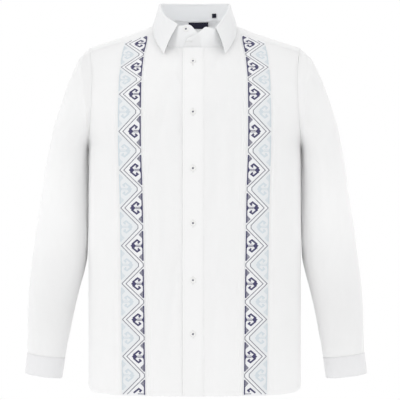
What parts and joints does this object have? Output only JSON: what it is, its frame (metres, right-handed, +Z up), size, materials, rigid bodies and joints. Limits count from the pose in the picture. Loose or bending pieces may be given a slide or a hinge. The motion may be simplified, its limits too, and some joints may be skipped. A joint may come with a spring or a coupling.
{
  "type": "long-sleeve shirt",
  "caption": "White long-sleeve button shirt in worn form, with a point collar, front placket, straight hem, cuffs and two upright embroidered bands.",
  "frame": {"origin": "middle of the neck, between the shoulders that carry the shirt, level with the neck point of the shoulder", "axes": "+Z up along the wearer's spine, +X to the wearer's left, -Y to the front"},
  "size_m": [0.7003, 0.2549, 0.7965],
  "materials": {
    "cloth": "plain-woven white cotton and linen, matt",
    "band": "white cloth embroidered in navy, grey and pale blue thread",
    "button": "white four-hole button sewn with navy thread",
    "label": "plain navy woven label, blank"
  },
  "bodies": {
    "root": {"front_left": "cloth", "front_right": "cloth", "back": "cloth", "yoke": "cloth", "placket": "cloth", "band_left": "band", "band_right": "band", "sleeve_left": "cloth", "sleeve_right": "cloth", "cuff_left": "cloth", "cuff_right": "cloth", "collar_leaf": "cloth", "collar_stand": "cloth", "button_1": "button", "button_2": "button", "button_3": "button", "button_4": "button", "button_5": "button", "button_6": "button", "button_collar": "button", "button_cuff_left": "button", "button_cuff_right": "button", "neck_label": "label", "size_tab": "label"}
  },
  "joints": []
}
